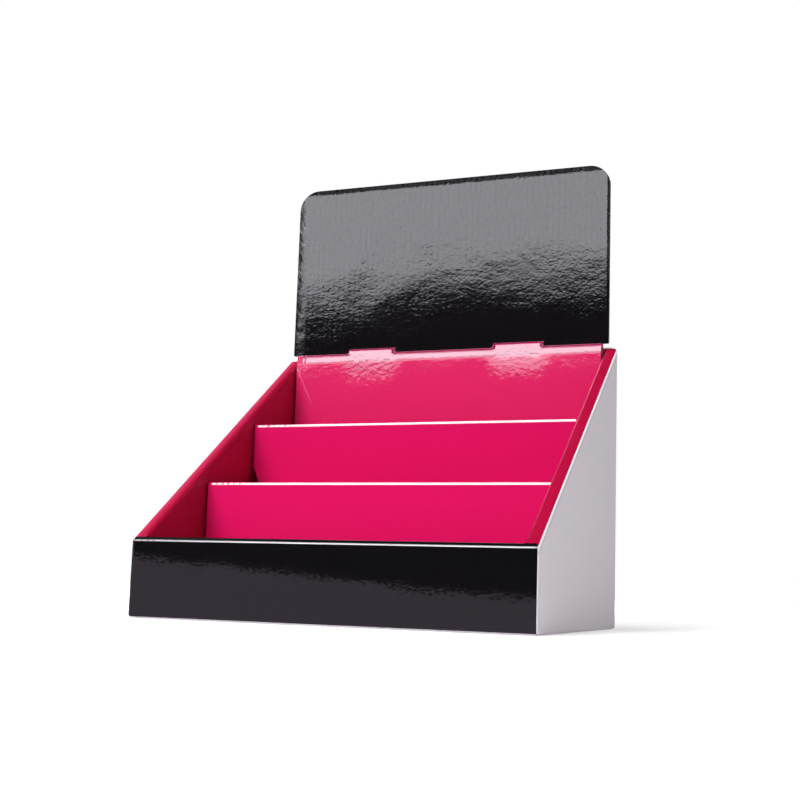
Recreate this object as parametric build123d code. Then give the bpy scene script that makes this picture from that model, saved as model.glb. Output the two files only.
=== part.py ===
from build123d import *
import os
from math import atan, cos, pi, sin, tan

# A counter-top display stand folded from three die-cut sheets of printed fine-flute board:
# an open tray with hollow sides and a low front lip, a stepped insert that carries the rows
# of goods, and a header card that drops over the insert's two bridges.
# Lengths are in millimetres. +X is to the right, +Y to the back and +Z up.
# The origin is the centre of the footprint, on the surface that the stand rests on.

# Board
board = 1.5
fold_inner = 0.3
fold_outer = fold_inner + board

# Tray
width = 200.0
depth = 160.0
lip_height = 36.7
back_height = 153.3
rim_width = 6.7
lip_depth = 4.6
lock_tab_width = 20.0
side_tab_spacing = 74.0
lip_tab_spacing = 94.0

# Stepped insert
riser_1_setback = 55.7
riser_2_setback = 103.4
tread_1_height = 69.4
tread_2_height = 106.0
panel_rise = 1.2
lean_length = 4.8
lean_run = 1.1
lean_fold = 13.0
bridge_rise = 2.9
bridge_width = 28.9
bridge_spacing = 89.1
slot_corner = 1.0
relief_width = 5.6
relief_height = 14.0

# Header card
header_overhang = 2.7
header_face_height = 102.4
header_corner = 12.0
shoulder_corner = 0.7
tongue_depth = 30.0
tongue_chamfer = 4.0

# Clearances
edge_gap = 0.3
slot_gap = 0.2
card_play = 0.2
side_play = 1.0
tongue_play = 0.7
shoulder_gap = 0.3

# Where the tray's faces lie
front_face = -depth / 2
back_face = depth / 2
side_face = width / 2
well_front = front_face + lip_depth
well_back = back_face - board
well_side = side_face - rim_width
rim_slope = (back_height - lip_height) / depth
rim_tilt = atan(rim_slope)
strip_start = front_face + fold_outer * tan((pi / 2 - rim_tilt) / 2) * cos(rim_tilt)
strip_inside = strip_start + board * sin(rim_tilt)

# Where the layers behind the goods lie, counted forward from the tray's back wall
rear_panel_face = well_back - edge_gap
header_back = rear_panel_face - board - card_play
header_front = header_back - board
panel_top_face = header_front - card_play - board
panel_face = panel_top_face - lean_run
floor_top = 2 * board

# Heights at the top of the insert's back panel, which carries the header card
panel_height = back_height + panel_rise
lean_height = panel_height - lean_length
bridge_height = panel_height + bridge_rise
header_base = panel_height + shoulder_gap


def rim_height(y):
    """Height of the sloping rim plane at a distance y from the middle."""
    return lip_height + rim_slope * (y - front_face)


def block(x_range, y_range, z_range):
    """A cuboid between the given limits."""
    corner_1, corner_2 = zip(x_range, y_range, z_range)
    size = [high - low for low, high in zip(corner_1, corner_2)]
    return Pos(*corner_1) * Box(*size, align=(Align.MIN, Align.MIN, Align.MIN))


def folded_section(points, radii):
    """Section of a folded sheet: its printed face follows the points, its body is on the right."""
    printed_face = FilletPolyline(*points, radius=radii)
    return make_face(offset(printed_face, amount=board, side=Side.RIGHT).edges())


def folded_block(inset):
    """The tray's outside form drawn in by an inset, with a round at every fold of the board."""
    front = front_face + inset
    back = back_face - inset
    drop = inset / cos(rim_tilt)
    corners = [
        (front, inset),
        (back, inset),
        (back, rim_height(back) - drop),
        (front, rim_height(front) - drop),
    ]
    side_view = Plane.YZ * make_face(Polyline(*corners, close=True))
    body = extrude(side_view, amount=side_face - inset, both=True)
    open_edge = body.edges().filter_by(Axis.X).sort_by(Axis.Z)[-1]
    folds = [edge for edge in body.edges() if edge != open_edge]
    return fillet(folds, fold_outer - inset)


def side_return():
    """Inner half of the right side wall: the rim folds over and runs down to the base."""
    down_rim = (0, -cos(rim_tilt), -sin(rim_tilt))
    rim_frame = Plane(origin=(0, front_face, lip_height), x_dir=(1, 0, 0), z_dir=down_rim)
    lap = side_face - fold_outer
    section = folded_section([(well_side, -back_height), (well_side, 0), (lap, 0)], [fold_outer])
    sheet = extrude(rim_frame * section, amount=2 * depth, both=True)
    walls = (well_front + edge_gap, well_back - edge_gap)
    panel = block((well_side, side_face), walls, (board + edge_gap, back_height))
    for tab in side_tabs(0):
        panel += tab
    return sheet & panel


def side_tabs(growth):
    """Lock tabs under the right inner side wall, or their slots when grown by a clearance."""
    reach = lock_tab_width / 2 + growth
    thickness = (well_side - growth, well_side + board + growth)
    middle = (well_front + well_back) / 2
    centres = [middle - side_tab_spacing / 2, middle + side_tab_spacing / 2]
    height = (0, board + 2 * edge_gap)
    return [block(thickness, (y - reach, y + reach), height) for y in centres]


def lip_tabs(growth):
    """Lock tabs under the lip's inner wall, or their slots when grown by a clearance."""
    reach = lock_tab_width / 2 + growth
    thickness = (well_front - board - growth, well_front + growth)
    height = (0, board + 2 * edge_gap)
    centres = [-lip_tab_spacing / 2, lip_tab_spacing / 2]
    return [block((x - reach, x + reach), thickness, height) for x in centres]


def lip_return():
    """Inner half of the front lip: the strip folds over and runs down to the base."""
    path = [
        (strip_start, rim_height(strip_start)),
        (well_front, rim_height(well_front)),
        (well_front, 0),
    ]
    sheet = extrude(Plane.YZ * folded_section(path, [fold_outer]), amount=well_side, both=True)
    trimmed = block((-well_side, well_side), (strip_start, well_front), (board + edge_gap, back_height))
    for tab in lip_tabs(0):
        trimmed += tab
    return sheet & trimmed


def make_tray():
    """Base, back wall, hollow side walls and front lip: one sheet with its walls folded double."""
    tray = folded_block(0) - folded_block(board)

    # The sheet is open over the well, up to the middle of each rim and the start of the lip's strip
    above_base = (lip_height / 2, back_height + board)
    rim_middle = side_face - rim_width / 2
    tray -= block((-rim_middle, rim_middle), (well_front, well_back), above_base)
    tray -= block((-well_side, well_side), (strip_inside, well_front), above_base)

    # The rims are cut free of the lip's strip in front and of the back wall behind
    for side in (-1, 1):
        free = sorted((side * well_side, side * (side_face - fold_outer)))
        tray -= block(free, (well_front, well_front + edge_gap), above_base)
        tray -= block(free, (well_back - edge_gap, well_back), above_base)

    # Slots in the base take the lock tabs
    slots = side_tabs(slot_gap) + lip_tabs(slot_gap)
    slots += [mirror(slot, about=Plane.YZ) for slot in side_tabs(slot_gap)]
    for slot in slots:
        tray -= slot

    right_return = side_return()
    tray += right_return
    tray += mirror(right_return, about=Plane.YZ)
    tray += lip_return()
    return tray


def foot_relief(half_width, fold_y, fold_z):
    """Corner cut at the right end of a riser's foot, tapering out along the riser and the tread."""
    inner = half_width - relief_width
    outer = half_width + board
    beyond = 2 * fold_outer
    on_riser = [(half_width, fold_z + relief_height), (inner, fold_z), (inner, fold_z - beyond),
                (outer, fold_z - beyond), (outer, fold_z + relief_height)]
    on_tread = [(half_width, fold_y - relief_height), (inner, fold_y), (inner, fold_y + beyond),
                (outer, fold_y + beyond), (outer, fold_y - relief_height)]
    riser_face = Plane.XZ.offset(-(fold_y - board)) * make_face(Polyline(*on_riser, close=True))
    tread_face = Plane.XY.offset(fold_z - beyond) * make_face(Polyline(*on_tread, close=True))
    through_riser = extrude(riser_face, amount=-(beyond + board))
    through_tread = extrude(tread_face, amount=beyond + board)
    return through_riser + through_tread


def top_slots():
    """Slots in the insert's top: they take the header's tongues and leave the two bridges."""
    inner = (bridge_spacing - bridge_width) / 2
    outer = (bridge_spacing + bridge_width) / 2
    middle = panel_height + bridge_rise
    slots = Sketch()
    for left, right in ((-side_face, -outer), (-inner, inner), (outer, side_face)):
        slot = RectangleRounded(right - left, 2 * bridge_rise, slot_corner)
        slots += Pos((left + right) / 2, middle) * slot
    return extrude(Plane.XZ * slots, amount=depth, both=True)


def make_insert():
    """Floor, two steps, back panel and rear panel: one sheet folded like a stair."""
    riser_1 = front_face + riser_1_setback
    riser_2 = front_face + riser_2_setback
    stair = [
        ((well_front + edge_gap, floor_top), None),
        ((riser_1, floor_top), fold_inner),
        ((riser_1, tread_1_height), fold_outer),
        ((riser_2, tread_1_height), fold_inner),
        ((riser_2, tread_2_height), fold_outer),
        ((panel_face, tread_2_height), fold_inner),
        ((panel_face, lean_height), lean_fold),
        ((panel_top_face, bridge_height), fold_outer),
        ((rear_panel_face, bridge_height), fold_outer),
        ((rear_panel_face, board + fold_inner), None),
    ]
    points = [point for point, radius in stair]
    radii = [radius for point, radius in stair if radius is not None]
    half_width = well_side - side_play
    insert = extrude(Plane.YZ * folded_section(points, radii), amount=half_width, both=True)

    insert -= top_slots()

    # The second riser is cut away at the ends of its foot, where it is creased to the tread
    relief = foot_relief(half_width, riser_2, tread_1_height)
    insert -= relief
    insert -= mirror(relief, about=Plane.YZ)
    return insert


def make_header():
    """Flat card with rounded top corners and three tongues, notched over the insert's bridges."""
    face_width = 2 * (well_side + header_overhang)
    face = Pos(0, header_base + header_face_height / 2) * Rectangle(face_width, header_face_height)
    face = fillet(face.vertices().group_by(Axis.Y)[-1], header_corner)
    face = fillet(face.vertices().group_by(Axis.Y)[0], shoulder_corner)

    tongue_height = tongue_depth + header_corner
    tongue_middle = header_base - tongue_depth + tongue_height / 2
    tongues = Pos(0, tongue_middle) * Rectangle(2 * (well_side - tongue_play), tongue_height)
    notch_height = bridge_height + edge_gap - (header_base - tongue_depth)
    notch_middle = bridge_height + edge_gap - notch_height / 2
    for side in (-1, 1):
        notch = Rectangle(bridge_width + 2 * edge_gap, notch_height)
        tongues -= Pos(side * bridge_spacing / 2, notch_middle) * notch
        face -= Pos(side * bridge_spacing / 2, notch_middle) * notch
    tongues = chamfer(tongues.vertices().group_by(Axis.Y)[0], tongue_chamfer)
    outline = Plane.XZ.offset(-header_front) * (face + tongues)
    return extrude(outline, amount=-board)


os.makedirs("parts", exist_ok=True)
nodes = {"tray": make_tray(), "step_insert": make_insert(), "header_card": make_header()}
for name, shape in nodes.items():
    export_step(shape, f"parts/{name}.step")
    print(name, len(shape.solids()), "solids", round(shape.volume / 1000, 1), "cm3", shape.is_valid)
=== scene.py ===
import math

import bmesh
import bpy
from mathutils import Matrix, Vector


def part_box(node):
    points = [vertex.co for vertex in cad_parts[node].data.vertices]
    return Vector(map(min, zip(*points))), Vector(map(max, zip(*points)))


bl_info = {
    "name": "Cardboard display stand",
    "version": (1, 0, 0),
    "blender": (4, 5, 0),
    "location": "3D View > Sidebar > Display Stand",
    "description": "Print, gloss and creases for a folded counter display, with its studio",
    "category": "Object",
}

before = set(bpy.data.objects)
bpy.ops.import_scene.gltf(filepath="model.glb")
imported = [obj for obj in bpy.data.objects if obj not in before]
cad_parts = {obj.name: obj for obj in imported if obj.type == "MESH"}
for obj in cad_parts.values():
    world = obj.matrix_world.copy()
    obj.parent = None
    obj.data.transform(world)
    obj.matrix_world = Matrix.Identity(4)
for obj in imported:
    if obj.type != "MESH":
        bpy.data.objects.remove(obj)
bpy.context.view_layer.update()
TRAY_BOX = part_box("tray")
INSERT_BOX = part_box("step_insert")
HEADER_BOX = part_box("header_card")

MILLIMETRE = 0.001

# Roughness of bare paper, of the film over each print, and what is added where it's cut or worn
OUTER_PAPER = 0.60
INNER_PAPER = 0.75
LIP_FILM = 0.03
RIM_FILM = 0.08
INSERT_FILM = 0.08
HEADER_FILM = 0.05
WORN_FILM = 0.30

# Sockets of a Mix node that is set to colours: its factor and two colours, and its result
MIX_INPUTS = (0, 6, 7)
MIX_RESULT = 2

# Tint and level of the far floor as the gloss shows it, and tint of the softbox
SHEEN = (0.97, 0.80, 1.0, 1)
SHEEN_LEVEL = 0.75
SOFTBOX_TINT = (1.0, 0.985, 1.06, 1)

# Each lamp's name, place, turn and tilt in degrees, width, and share of the fill's power
LAMPS = (
    ("top", (-0.60, -0.70, 2.25), 0, 0, 1.4, 9.5),
    ("front", (0.5, -1.4, 0.3), 20, 90, 0.5, 0.6),
    ("right", (1.3, 0, 0.22), 90, 90, 0.5, 1),
    ("left", (-1.3, 0, 0.22), -90, 90, 0.5, 0.4),
    ("back", (0, 1.4, 0.45), 180, 90, 0.5, 1),
)


# Values that a user would change

def length(name, description, default):
    """A length property, in metres."""
    return bpy.props.FloatProperty(
        name=name, description=description, default=default, min=0, unit="LENGTH", precision=5
    )


def colour(name, description, default):
    """A linear colour property."""
    return bpy.props.FloatVectorProperty(
        name=name, description=description, default=default, size=3, min=0, max=1, subtype="COLOR"
    )


def strength(name, description, default):
    """A plain number that is never negative."""
    return bpy.props.FloatProperty(name=name, description=description, default=default, min=0)


class StandSizes(bpy.types.PropertyGroup):
    """Lengths of the board and of the folds that the print follows."""

    board: length("Board", "Thickness of the board", 0.0015)
    fold: length("Fold", "Outer radius of every fold", 0.0018)
    pitch: length("Flute pitch", "Distance from one flute of the board to the next", 0.00343)
    rim: length("Rim", "Width of the folded rims", 0.0067)
    lip: length("Lip", "Depth of the folded front lip", 0.0046)
    lip_height: length("Lip height", "Height of the front lip", 0.0367)
    step_1: length("First step", "Height of the first tread", 0.0694)
    step_2: length("Second step", "Height of the second tread", 0.106)
    panel_height: length("Panel height", "Height of the back panel's cut top edge", 0.1545)
    strip: length("Strip", "Height of the strip between the panel's upper fold and its top", 0.0048)
    bridge: length("Bridge", "Width of each bridge over the header card", 0.0289)
    bridge_spacing: length("Bridge spacing", "Distance between the bridges' middles", 0.0891)


class StandColours(bpy.types.PropertyGroup):
    """Colours of the print and of the bare board, and of the light and shade painted onto them."""

    pink: colour("Pink", "Ink of the insert", (0.655, 0.0065, 0.105))
    warm: colour("Warm pink", "Ink of the insert where it's mottled", (0.62, 0.010, 0.085))
    # Painted shade: the insert's pink made darker above its first step
    shaded_pink: colour("Deep pink", "Ink of the insert above its first step", (0.52, 0.0055, 0.085))
    # Painted shade: the panel's pink made darker under the bridges, where their reflection is bright
    bridge_shade: colour("Drawn pink", "Ink of the panel under its bridges", (0.34, 0.005, 0.07))
    # Painted shade: the pink made darker along the panel's top strip, under its bright reflection
    strip_shade: colour("Dull pink", "Ink of the strip along the panel's top", (0.25, 0.0045, 0.055))
    # Painted sheen: a faint white over the back panel's pink
    painted_sheen: colour("Haze", "Faint veil over the back panel", (0.8, 0.8, 0.8))
    hairline: colour("Hairline", "Raw edge of the panel's top and the bridges", (0.40, 0.38, 0.40))
    # The tray's crimson ink, deepened as painted shade on its rims and inner walls
    crimson: colour("Crimson", "Ink of the tray's rims and inner walls", (0.38, 0.0045, 0.038))
    # Painted light: a lighter crimson on the left rim's outer round
    brightened: colour("Worn crimson", "Ink on the left rim's outer round", (0.62, 0.030, 0.125))
    black: colour("Black", "Ink of the lip and the header", (0.0042, 0.0038, 0.0046))
    white: colour("White", "Outer paper of the sides", (0.79, 0.75, 0.785))
    # Painted highlight: a brighter white along the sides' rolled top edge
    edge_highlight: colour("Fresh white", "Paper along the sides' rolled top edge", (0.96, 0.93, 0.95))
    # A darker grey: painted shade in a band under the sides' top edge, and random mottle
    darkened: colour("Pressed white", "Paper where the sides are pressed", (0.60, 0.57, 0.59))
    # Paper where the ink cracks at a crease, also used for the painted highlight along the creases
    crack_and_highlight: colour("Crack", "Paper that shows where the ink cracks at a crease", (0.85, 0.80, 0.82))
    liner: colour("Liner", "Unprinted paper on the inside of the sheets", (0.58, 0.56, 0.54))
    medium: colour("Medium", "Fluted paper that shows at cut edges", (0.27, 0.24, 0.23))
    gap: colour("Gap", "Shade between the flutes at cut edges", (0.06, 0.05, 0.04))


class StandStudio(bpy.types.PropertyGroup):
    """Light, floor and camera."""

    ambient: strength("Ambient", "Light from all round", 0.12)
    key: strength("Key", "Radiance of the softbox near its lower edge", 5.3)
    bounce: strength("Bounce", "Radiance of the pale card behind on the left", 0.14)
    fill: strength("Fill", "Power in watts that each lamp has a share of", 3.4)
    lens: strength("Lens", "Focal length in millimetres", 55.52)


# Shader maths

class Socket:
    """A node's output that takes part in Python sums, products and comparisons."""

    def __init__(self, finish, output):
        self.finish = finish
        self.output = output

    def math(self, operation, *values):
        """A Math node on one or two values."""
        return self.finish.node("Math", {"operation": operation}, dict(enumerate(values)))

    def __add__(self, other):
        return self.math("ADD", self, other)

    def __radd__(self, other):
        return self.math("ADD", other, self)

    def __sub__(self, other):
        return self.math("SUBTRACT", self, other)

    def __rsub__(self, other):
        return self.math("SUBTRACT", other, self)

    def __mul__(self, other):
        return self.math("MULTIPLY", self, other)

    def __rmul__(self, other):
        return self.math("MULTIPLY", other, self)

    def __truediv__(self, other):
        return self.math("DIVIDE", self, other)

    def __neg__(self):
        return self.math("MULTIPLY", self, -1)

    def __gt__(self, other):
        return self.math("GREATER_THAN", self, other)

    def __lt__(self, other):
        return self.math("LESS_THAN", self, other)

    def __abs__(self):
        return self.math("ABSOLUTE", self)

    def cos(self):
        return self.math("COSINE", self)

    def root(self):
        return self.math("SQRT", self)

    def least(self, other):
        return self.math("MINIMUM", self, other)

    def most(self, other):
        return self.math("MAXIMUM", self, other)


class Finish:
    """A procedural material on Object coordinates, or the world's nodes.

    x, y and z say where a point lies, and right, back and up which way its surface faces.
    """

    def __init__(self, owner):
        self.owner = owner
        owner.use_nodes = True
        self.tree = owner.node_tree
        self.tree.nodes.clear()
        self.place = self.node("TexCoord", output="Object")
        self.x, self.y, self.z = self.parts(self.place)
        self.right, self.back, self.up = self.parts(self.node("TexCoord", output="Normal"))

    def node(self, kind, settings=None, inputs=None, output=0):
        """Adds a node. Its settings come first, then the values or links of its sockets."""
        node = self.tree.nodes.new("ShaderNode" + kind)
        for name, value in (settings or {}).items():
            setattr(node, name, value)
        for name, value in (inputs or {}).items():
            if isinstance(value, Socket):
                self.tree.links.new(value.output, node.inputs[name])
            else:
                node.inputs[name].default_value = value
        return Socket(self, node.outputs[output]) if node.outputs else node

    def parts(self, vector):
        """The three numbers of a vector."""
        node = self.node("SeparateXYZ", inputs={0: vector}).output.node
        return [Socket(self, output) for output in node.outputs]

    def ramp(self, value, low, high):
        """Goes smoothly from 0 at low to 1 at high."""
        limits = {"Value": value, "From Min": low, "From Max": high}
        return self.node("MapRange", {"interpolation_type": "SMOOTHSTEP"}, limits)

    def band(self, value, rise, fall):
        """Goes smoothly from 0 to 1 within one range and back to 0 within the next."""
        return self.ramp(value, *rise) * (1 - self.ramp(value, *fall))

    def curl(self, distance, reach, slope):
        """Height in millimetres of a curling edge: sloped at the edge and flat past its reach."""
        left = (1 - distance / reach).most(0)
        return left * left * reach * (slope / 2 / MILLIMETRE)

    def noise(self, scale, detail, shares=(1, 1, 1)):
        """Noise round 0 in waves of 1/scale metres, longer along an axis with a lower share."""
        turned = self.node("Mapping", inputs={"Vector": self.place, "Scale": shares})
        return self.node("TexNoise", inputs={"Vector": turned, "Scale": scale, "Detail": detail}) - 0.5

    def blend(self, factor, first, second):
        """A colour between two colours."""
        pair = [tone if isinstance(tone, Socket) else (*tone, 1) for tone in (first, second)]
        settings = {"data_type": "RGBA", "clamp_factor": True}
        return self.node("Mix", settings, dict(zip(MIX_INPUTS, (factor, *pair))), MIX_RESULT)

    def surface(self, base, roughness, height, film=0.0):
        """Gloss paper: its colour, roughness, height in millimetres, and how much more film it has."""
        bump = self.node("Bump", inputs={"Distance": MILLIMETRE, "Height": height})
        values = {"Base Color": base, "Roughness": roughness, "Normal": bump}
        values.update({"IOR": 1.5, "Coat Weight": film})
        self.end(self.node("BsdfPrincipled", inputs=values))
        return self.owner

    def end(self, shader, kind="Material"):
        """Gives a shader to the output of the material or the world."""
        self.node("Output" + kind, inputs={"Surface": shader})


def paper(name):
    """The nodes of a new material."""
    return Finish(bpy.data.materials.new(name))


def cover(name, material):
    """Gives a CAD node its material."""
    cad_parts[name].material_slots[0].material = material


def chosen(context):
    """The stand's sizes and colours, from the scene."""
    return context.scene.stand_sizes, context.scene.stand_colours


# What the sheets have in common

def peel(sheet):
    """Unevenness of the film over the board, in millimetres: broad waves and fine flecks."""
    broad = sheet.noise(36, 1.0, (0.8, 1, 1)) * 0.24
    middle = sheet.noise(240, 2.0, (0.75, 1, 1)) * 0.044
    fine = sheet.noise(780, 1.0, (0.8, 1, 1)) * 0.027
    return broad + middle + fine


def flutes(sheet, sizes):
    """The upright flutes' wave across the stand, from -1 to 1."""
    return (sheet.x * (2 * math.pi / sizes.pitch)).cos()


def cracks(sheet, sizes, low, high, wear=0.0):
    """Cracked ink and a painted highlight along a crease across the stand, in beads by the flutes
    where wear is low.

    The crease lies where the upward part of the surface's normal is between low and high.
    """
    soft = 0.08
    crease = sheet.band(sheet.up, (low - soft, low + soft), (high - soft, high + soft))
    crest = flutes(sheet, sizes) * 0.30
    past_left_end = sheet.ramp(sheet.x, -0.095, -0.045) * 0.8
    brightened = crest + sheet.noise(300, 3.0) * 1.1 + past_left_end + wear
    return crease * sheet.ramp(brightened, -0.42, 0.38) * (sheet.back < -0.05)


def cut_board(sheet, sizes, colours, across):
    """Colour of a cut edge: two liners with the fluted paper and its gaps between them."""
    centre = sizes.board / 2
    liner_thickness = 0.00022
    flute_reach = centre - 0.0003
    half_thickness = 0.00020
    liner = abs(across - centre) > centre - liner_thickness
    flute = abs(across - centre - flutes(sheet, sizes) * flute_reach) < half_thickness
    gaps = sheet.blend(flute, colours.gap, colours.medium)
    return sheet.blend(liner, gaps, colours.liner)


# Tray

def tray_inks(sheet, sizes):
    """Where the tray is black, on its lip, and where it's crimson, on its rims and inside."""
    low, high = TRAY_BOX
    side_margin, foot_margin, back_margin = 0.0005, 0.0006, 0.0002
    base_inside = 0.0012
    inner_fold, sooner_on_rims = 0.7, 0.0011
    across = abs(sheet.x)
    between_sides = across < high.x - side_margin

    # Black ends at the inner fold of the lip's strip, and a little sooner on the rims
    on_rim = across > high.x - sizes.rim
    strip_end = low.y + sizes.lip - sizes.fold * inner_fold - on_rim * sooner_on_rims
    lip = (sheet.y < strip_end) * between_sides * (sheet.z > foot_margin) * (sheet.back < 0.3)

    # Crimson starts on the rims where the outer round ends and goes down the inner walls
    inside = (sheet.y > strip_end) * between_sides * (sheet.z > base_inside)
    inside = inside * (sheet.y < high.y - sizes.board + back_margin)
    return lip, inside


def under_rims(sheet, sizes):
    """Distance under the plane of the sloping rims, square to it."""
    low, high = TRAY_BOX
    rise = (high.z - sizes.lip_height) / (high.y - low.y)
    over = sheet.z - sizes.lip_height - (sheet.y - low.y) * rise
    return over * (-math.cos(math.atan(rise)))


def side_paper_and_shading(sheet, colours, below):
    """Colour of the sides: a painted highlight along the rolled top edge, a band of painted shade
    under it, and a random mottle.
    """
    # Painted shade in a band under the rolled edge, and a random mottle
    darkened = sheet.band(below, (0.0018, 0.0026), (0.0026, 0.0046)) * 0.35
    mottle = sheet.noise(900, 2.0) * 0.05 + sheet.noise(25, 1.0) * 0.06
    plain = sheet.blend(darkened + mottle, colours.white, colours.darkened)
    edge_highlight = 1 - sheet.ramp(below, 0.0012, 0.0020)
    return sheet.blend(edge_highlight, plain, colours.edge_highlight)


def rim_ink_and_light(sheet, colours):
    """Crimson, with a painted light on the left rim where its outer round starts."""
    side = TRAY_BOX[1].x
    outer = sheet.ramp(abs(sheet.x), side - 0.0045, side - 0.0020)
    brightened = (sheet.x < 0) * (sheet.up > 0.2) * outer
    return sheet.blend(brightened * 0.6, colours.crimson, colours.brightened)


class STAND_OT_tray(bpy.types.Operator):
    """Print the tray: black lip, pale grey sides and crimson rims"""

    bl_idname = "stand.tray"
    bl_label = "Tray"

    def execute(self, context):
        sizes, colours = chosen(context)
        high = TRAY_BOX[1]
        sheet = paper("tray_board")
        lip, inside = tray_inks(sheet, sizes)
        below = under_rims(sheet, sizes)
        base = sheet.blend(inside, side_paper_and_shading(sheet, colours, below), rim_ink_and_light(sheet, colours))

        # A painted highlight on the right rim's inner fold, and on the lip's front fold cracked ink
        # with a painted highlight
        inward = (sheet.x > 0) * (sheet.right < -0.15)
        fold_highlight = inside * inward * sheet.band(sheet.up, (0.36, 0.42), (0.48, 0.54))
        base = sheet.blend(fold_highlight * 0.30, base, colours.crack_and_highlight)
        base = sheet.blend(lip, base, colours.black)
        cracked_and_lit = cracks(sheet, sizes, 0.25, 0.62, wear=0.3) * lip
        base = sheet.blend(cracked_and_lit * 0.50, base, colours.crack_and_highlight)

        # The top edge of the back wall is cut
        side_margin, under_top = 0.0001, 0.001
        from_back = high.y - sheet.y
        on_edge = (from_back < sizes.board + side_margin) * (sheet.z > high.z - under_top)
        cut = on_edge * (sheet.up > 0.9)
        base = sheet.blend(cut, base, cut_board(sheet, sizes, colours, from_back))

        # The lip is the glossiest, and the walls inside are duller than the rims
        walls = inside * (abs(sheet.right) > 0.9)
        film = lip * (LIP_FILM - OUTER_PAPER) + inside * (RIM_FILM - OUTER_PAPER)
        rough = OUTER_PAPER + film + (cut + walls) * WORN_FILM
        gloss = (lip + inside).least(1)
        rolled = sheet.curl(below.most(0), reach=0.0022, slope=0.35) * (1 - gloss)
        ripples = flutes(sheet, sizes) * 0.003 * (lip * 0.8 + 0.2)
        height = peel(sheet) * (0.25 - lip * 0.08) - rolled + ripples
        cover("tray", sheet.surface(base, rough, height))
        return {"FINISHED"}


# Stepped insert

def riser_cracks_and_highlights(sheet, sizes):
    """Cracked ink and a painted highlight on the two risers' folds, but not at their ends."""
    uncracked_end = 0.0018
    half = sizes.fold / 2
    first, second = [abs(sheet.z - step + half) < half for step in (sizes.step_1, sizes.step_2)]
    steps = (first + second) * (abs(sheet.x) < INSERT_BOX[1].x - uncracked_end)
    return cracks(sheet, sizes, 0.22, 0.78) * steps


def panel_lean(sheet, sizes, near):
    """How far the bridges draw the back panel back, in millimetres: most under the right one."""
    broad_start, tight_start = 0.112, 0.132
    broad_pull, tight_pull, more_to_the_right = 420, 85000, 650000
    broad = (sheet.z - broad_start).most(0)
    tight = (sheet.z.least(sizes.panel_height - sizes.strip) - tight_start).most(0)
    tight_pull = tight_pull + sheet.x * more_to_the_right
    return broad * broad * broad_pull + tight * tight * tight * near * tight_pull


def panel_crease(sheet):
    """A crease at the panel's left corner, where it was pushed past the rim; a painted highlight line
    marks it.
    """
    top, inset, run, half_width = 0.145, 0.0011, 0.48, 0.0007
    off_line = abs(sheet.x - INSERT_BOX[0].x - inset - (top - sheet.z) * run)
    return (1 - off_line / half_width).most(0) * sheet.band(sheet.z, (0.122, 0.132), (top, 0.148))


def panel_wear_and_shading(sheet, sizes, colours, ink):
    """The upper back panel over a given ink: its colour with painted sheen, shade and highlight, its
    rough marks and its height.
    """
    behind_risers, top_zone, hairline = 0.03, 0.02, 0.00035
    forward = sheet.back < -0.3
    panel = forward * (sheet.y > behind_risers)
    top = forward * (sheet.z > sizes.panel_height - top_zone)

    # The cut edge of the panel's top and of the bridges: a raw hairline, then a small curl
    off_bridge = abs(abs(sheet.x) - sizes.bridge_spacing / 2) - sizes.bridge / 2
    below = (sizes.panel_height - sheet.z).most(0)
    within = (-off_bridge).most(0)
    edge = (below * below + within * within).root()
    raw = top * (edge < hairline)
    ink = sheet.blend(raw * 0.8, ink, colours.hairline)
    curl = top * sheet.curl(edge, reach=0.0021, slope=0.26)

    # The panel leans and crinkles below the bridges, and its ink is painted darker there, a painted
    # shade that tones down their bright reflection
    near = 1 - sheet.ramp(off_bridge, -0.006, 0.008)
    wrinkled = sheet.ramp(sheet.z, 0.122, 0.148) * (near + 0.3) * 0.15
    crinkle = sheet.noise(400, 3.0, (0.8, 1, 1)) * wrinkled
    bridge_shade = panel * near * sheet.ramp(sheet.z, 0.136, 0.148)
    # A faint painted sheen over the whole panel
    ink = sheet.blend(panel * 0.012, ink, colours.painted_sheen)
    ink = sheet.blend(bridge_shade * 0.5, ink, colours.bridge_shade)
    relief = curl + (crinkle - panel_lean(sheet, sizes, near)) * panel

    # The strip along the top has its ink painted darker as shade under its bright reflection, apart
    # from its left end, which is rubbed in two places
    rubbed_end, between_places, half_gap = 0.0057, 0.0042, 0.0006
    strip = top * sheet.ramp(sheet.z, sizes.panel_height - 0.006, sizes.panel_height - 0.004)
    inset = sheet.x - INSERT_BOX[0].x
    rubbed = strip * (inset < rubbed_end) * (abs(inset - between_places) > half_gap)
    ink = sheet.blend(strip * (1 - rubbed) * 0.85, ink, colours.strip_shade)

    # A faint painted highlight along the crease at the panel's left corner
    ink = sheet.blend(panel_crease(sheet) * panel * 0.10, ink, colours.crack_and_highlight)
    return ink, raw + rubbed * 2, relief


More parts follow.
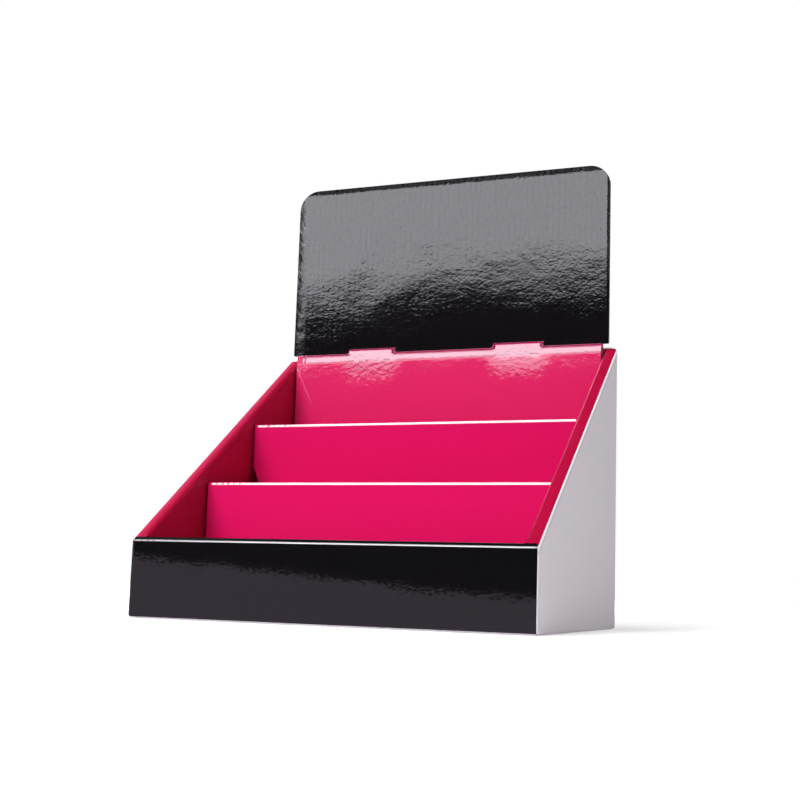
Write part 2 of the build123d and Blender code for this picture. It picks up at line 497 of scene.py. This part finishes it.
class STAND_OT_insert(bpy.types.Operator):
    """Print the stepped insert pink"""

    bl_idname = "stand.insert"
    bl_label = "Stepped insert"

    def execute(self, context):
        sizes, colours = chosen(context)
        sheet = paper("pink_print_board")

        # The printed side faces up and forward, but backward on the rear panel
        before_rear = 0.0012
        rear = sheet.y > INSERT_BOX[1].y - sizes.board - before_rear
        outward = sheet.up - sheet.back * (1 - 2 * rear)
        sideways = abs(sheet.right)
        printed = sheet.ramp(outward, -0.05, 0.05) * (sideways < 0.5)

        # The pink is mottled at random, and painted darker above the first step as shade
        mottle = sheet.noise(60, 4.0) * 0.10 + 0.05
        above_step = sheet.ramp(sheet.z, 0.060, 0.080)
        ink = sheet.blend(mottle, colours.pink, colours.warm)
        ink = sheet.blend(above_step * 0.8, ink, colours.shaded_pink)
        # The risers' folds get cracked ink and a painted highlight
        cracked_and_lit = riser_cracks_and_highlights(sheet, sizes)
        ink = sheet.blend(cracked_and_lit, ink, colours.crack_and_highlight)
        ink, marks, relief = panel_wear_and_shading(sheet, sizes, colours, ink)

        # Cut edges that face sideways take most of the crimson, as painted shade beside the rims
        bare = sheet.blend((sideways > 0.5) * 0.7, colours.liner, colours.crimson)
        base = sheet.blend(printed, bare, ink)
        rough = INNER_PAPER + printed * (INSERT_FILM - INNER_PAPER) + (cracked_and_lit + marks) * WORN_FILM
        height = peel(sheet) + flutes(sheet, sizes) * 0.004 + relief
        cover("step_insert", sheet.surface(base, rough, height))
        return {"FINISHED"}


# Header card

class STAND_OT_header(bpy.types.Operator):
    """Print the header card black"""

    bl_idname = "stand.header"
    bl_label = "Header card"

    def execute(self, context):
        sizes, colours = chosen(context)
        low, high = HEADER_BOX
        sheet = paper("black_header_board")

        # The front is black, with pink tongues, and the back is bare
        printed = sheet.back < -0.5
        cut = abs(sheet.back) < 0.5
        layers = cut_board(sheet, sizes, colours, sheet.y - low.y)
        bare = sheet.blend(cut, colours.liner, layers)
        ink = sheet.blend(sheet.z < sizes.panel_height, colours.black, colours.pink)
        base = sheet.blend(printed, bare, ink)

        # The film is a little rougher at the left end
        end_width, fade = 0.010, 0.008
        left_end = sheet.ramp(low.x + end_width - sheet.x, 0, fade)
        rough = INNER_PAPER + printed * (HEADER_FILM - INNER_PAPER) + left_end * 0.10

        # The die presses the sides back and leaves the top edge curled forward
        uneven = sheet.noise(120, 3.0) * 0.010
        top = sheet.curl(high.z - sheet.z, reach=0.0048, slope=0.15)
        left = sheet.curl(sheet.x - low.x, reach=0.0062 + uneven, slope=0.12)
        right = sheet.curl(high.x - sheet.x, reach=0.0022, slope=0.20)
        wave = flutes(sheet, sizes)
        height = peel(sheet) + wave * 0.003 + top - left - right

        # Its film lies thicker in grains and, in patches, along the flutes
        grain = sheet.noise(1500, 2.0, (1, 1, 0.4)) * 0.4 + 0.10
        film = (wave * 0.3 * sheet.noise(90, 1.0) + grain).most(0) * printed
        cover("header_card", sheet.surface(base, rough, height, film))
        return {"FINISHED"}


# Studio

class STAND_OT_studio(bpy.types.Operator):
    """Set up the floor, the softbox, the card, the curtain, the lamps and the camera"""

    bl_idname = "stand.studio"
    bl_label = "Studio"

    def execute(self, context):
        studio = context.scene.stand_studio
        add_floor()
        add_softbox(studio.key)
        add_bounce(studio.bounce)
        add_curtain()
        add_fills(studio.fill)
        add_world(studio.ambient)
        add_camera(studio.lens)
        context.scene.view_settings.view_transform = "Standard"
        return {"FINISHED"}


def hide_from(thing, *kinds):
    """Keeps an object of the studio out of some kinds of ray."""
    for kind in kinds:
        setattr(thing, "visible_" + kind, False)


def staged(name, fill, *hidden_from):
    """Adds a stage object whose mesh the fill function makes, and gives its material's nodes."""
    mesh = bpy.data.meshes.new(name)
    shape = bmesh.new()
    fill(shape)
    shape.to_mesh(mesh)
    shape.free()
    thing = bpy.data.objects.new(name, mesh)
    bpy.context.scene.collection.objects.link(thing)
    hide_from(thing, *hidden_from)
    finish = paper(name)
    mesh.materials.append(finish.owner)
    return finish


def square(size, matrix):
    """A fill function for one square face that reaches this far from its middle."""
    grid = {"x_segments": 1, "y_segments": 1, "size": size, "matrix": matrix}
    return lambda shape: bmesh.ops.create_grid(shape, **grid)


def aimed(place, turn, tilt):
    """A matrix that tilts about X, turns about Z, both in radians, and moves to a place."""
    return Matrix.Translation(place) @ Matrix.Rotation(turn, 4, "Z") @ Matrix.Rotation(tilt, 4, "X")


def rays(finish):
    """Masks of three kinds of ray: from the camera, off gloss and through glass."""
    path = finish.node("LightPath").output.node
    kinds = ("Is Camera Ray", "Is Glossy Ray", "Is Transmission Ray")
    return [Socket(finish, path.outputs[kind]) for kind in kinds]


def add_floor():
    """A white floor: it takes the stand's shadow and fades to white all round."""
    albedo, near_glow, more_glow = 0.8, 0.45, 0.6
    just_below = Matrix.Translation((0, 0, -0.0002))
    finish = staged("studio_floor", square(6.0, just_below))
    away = (finish.x * finish.x + finish.y * finish.y).root()
    glow = near_glow + finish.ramp(away, 0.35, 1.2) * more_glow
    camera, glossy, through = rays(finish)
    shade = finish.node("BsdfDiffuse", inputs={"Color": albedo - glossy * albedo})
    light = finish.node("Emission", inputs={"Strength": glow * (camera + through)})
    sheen = finish.node("Emission", inputs={"Color": SHEEN, "Strength": glossy * SHEEN_LEVEL})
    lit = finish.node("AddShader", inputs={0: shade, 1: light})
    finish.end(finish.node("AddShader", inputs={0: lit, 1: sheen}))


def add_softbox(radiance):
    """A softbox in front on the left that curves up over the stand."""
    left, right, front, bottom = -1.58, -0.10, -1.90, 0.55
    steps = ((0, 0, 1.30), (0, 0.35, 0.35))

    def fill(shape):
        edge = shape.edges.new([shape.verts.new((x, front, bottom)) for x in (left, right)])
        for step in steps:
            made = bmesh.ops.extrude_edge_only(shape, edges=[edge])["geom"]
            corners = [part for part in made if isinstance(part, bmesh.types.BMVert)]
            bmesh.ops.translate(shape, vec=step, verts=corners)
            edge = next(part for part in made if isinstance(part, bmesh.types.BMEdge))

    # The light grows brighter upwards and dims again near its top
    finish = staged("studio_softbox", fill, "camera")
    brighter = finish.ramp(finish.z, 1.04, 1.18) * 1.7
    dimmer = finish.ramp(finish.z, 1.65, 2.1) * 1.2

    # Its left edge is soft, and so is its lower edge, which slopes down from a peak to both sides
    soft_left, peak_x, peak_z, left_slope, right_slope = -1.36, -0.72, 0.750, 0.145, 0.03
    past_peak = finish.x - peak_x
    rim = peak_z - (-past_peak).most(0) * left_slope - past_peak.most(0) * right_slope
    soft = finish.ramp(finish.x, left, soft_left) * finish.ramp(finish.z - rim, -0.05, 0.035)
    level = (1 + brighter - dimmer) * soft * radiance
    finish.end(finish.node("Emission", inputs={"Color": SOFTBOX_TINT, "Strength": level}))


def add_bounce(radiance):
    """A pale card high behind on the left, which hazes the left rim."""
    size, flatter = 0.29, Matrix.Diagonal((1, 0.6, 1, 1))
    spot = aimed((-0.87, 0.50, 1.28), math.radians(57), math.radians(142))
    finish = staged("studio_card", square(size, spot @ flatter), "camera")
    finish.end(finish.node("Emission", inputs={"Strength": radiance}))


def add_curtain():
    """A dark curtain round the studio with a pale skirt, which only reflections see."""
    def fill(shape):
        bmesh.ops.create_icosphere(shape, subdivisions=4, radius=4.0)
        parts = shape.verts[:] + shape.edges[:] + shape.faces[:]
        ground = {"plane_co": (0, 0, 0), "plane_no": (0, 0, -1)}
        bmesh.ops.bisect_plane(shape, geom=parts, clear_outer=True, **ground)

    # The skirt hangs in front only, below a slanting hem
    unseen = ("camera", "diffuse", "transmission", "shadow", "volume_scatter")
    finish = staged("studio_curtain", fill, *unseen)
    dark, hem_slope, hem_height, hem_fade = 0.004, -0.088, -0.094, 0.006
    hem = finish.x * hem_slope + hem_height
    skirt = 1 - finish.ramp(finish.z - hem, -hem_fade, hem_fade)
    level = dark + skirt * (finish.y < 0) * SHEEN_LEVEL
    finish.end(finish.node("Emission", inputs={"Color": SHEEN, "Strength": level}))


def add_fills(power):
    """A lamp over the stand and four low ones, which no mirror shows."""
    for name, place, turn, tilt, size, share in LAMPS:
        lamp = bpy.data.lights.new("fill_" + name, "AREA")
        lamp.size = size
        lamp.energy = power * share
        seat = bpy.data.objects.new("fill_" + name, lamp)
        seat.matrix_world = aimed(place, math.radians(turn), math.radians(tilt))
        hide_from(seat, "camera", "glossy")
        bpy.context.scene.collection.objects.link(seat)


def add_world(ambient):
    """A white surround, which lights the sheets only by the ambient share."""
    world = bpy.data.worlds.new("studio")
    finish = Finish(world)
    camera, glossy, through = rays(finish)
    level = (camera + glossy + through).least(1) * (1 - ambient) + ambient
    background = finish.node("Background", inputs={"Color": (1, 1, 1, 1), "Strength": level})
    finish.end(background, "World")
    bpy.context.scene.world = world


def add_camera(lens):
    """The photograph's viewpoint: low, on the right in front, looking slightly up."""
    place = (0.23558, -0.58409, 0.01729)
    yaw, pitch, roll = 0.3723, 0.1368, 0.0326
    camera = bpy.data.cameras.new("camera")
    camera.lens = lens
    camera.sensor_width = 36.0
    camera.shift_x = -0.0078
    camera.shift_y = 0.0246
    camera.clip_start = 0.01
    seat = bpy.data.objects.new("camera", camera)
    level = math.pi / 2
    seat.matrix_world = aimed(place, yaw, level + pitch) @ Matrix.Rotation(roll, 4, "Z")
    bpy.context.scene.collection.objects.link(seat)
    bpy.context.scene.camera = seat


class STAND_PT_panel(bpy.types.Panel):
    """Values and steps of the display stand"""

    bl_label = "Display Stand"
    bl_idname = "STAND_PT_panel"
    bl_space_type = "VIEW_3D"
    bl_region_type = "UI"
    bl_category = "Display Stand"

    def draw(self, context):
        for group_name, group in GROUPS.items():
            for value in group.__annotations__:
                self.layout.prop(getattr(context.scene, group_name), value)
        for step in STEPS:
            self.layout.operator(step.bl_idname)


GROUPS = {"stand_sizes": StandSizes, "stand_colours": StandColours, "stand_studio": StandStudio}
STEPS = (STAND_OT_tray, STAND_OT_insert, STAND_OT_header, STAND_OT_studio)
CLASSES = (*GROUPS.values(), *STEPS, STAND_PT_panel)


def register():
    for kind in CLASSES:
        bpy.utils.register_class(kind)
    for name, group in GROUPS.items():
        setattr(bpy.types.Scene, name, bpy.props.PointerProperty(type=group))


def unregister():
    for name in GROUPS:
        delattr(bpy.types.Scene, name)
    for kind in reversed(CLASSES):
        bpy.utils.unregister_class(kind)


def main():
    register()
    bpy.ops.stand.tray()
    bpy.ops.stand.insert()
    bpy.ops.stand.header()
    bpy.ops.stand.studio()


if __name__ == "__main__":
    main()
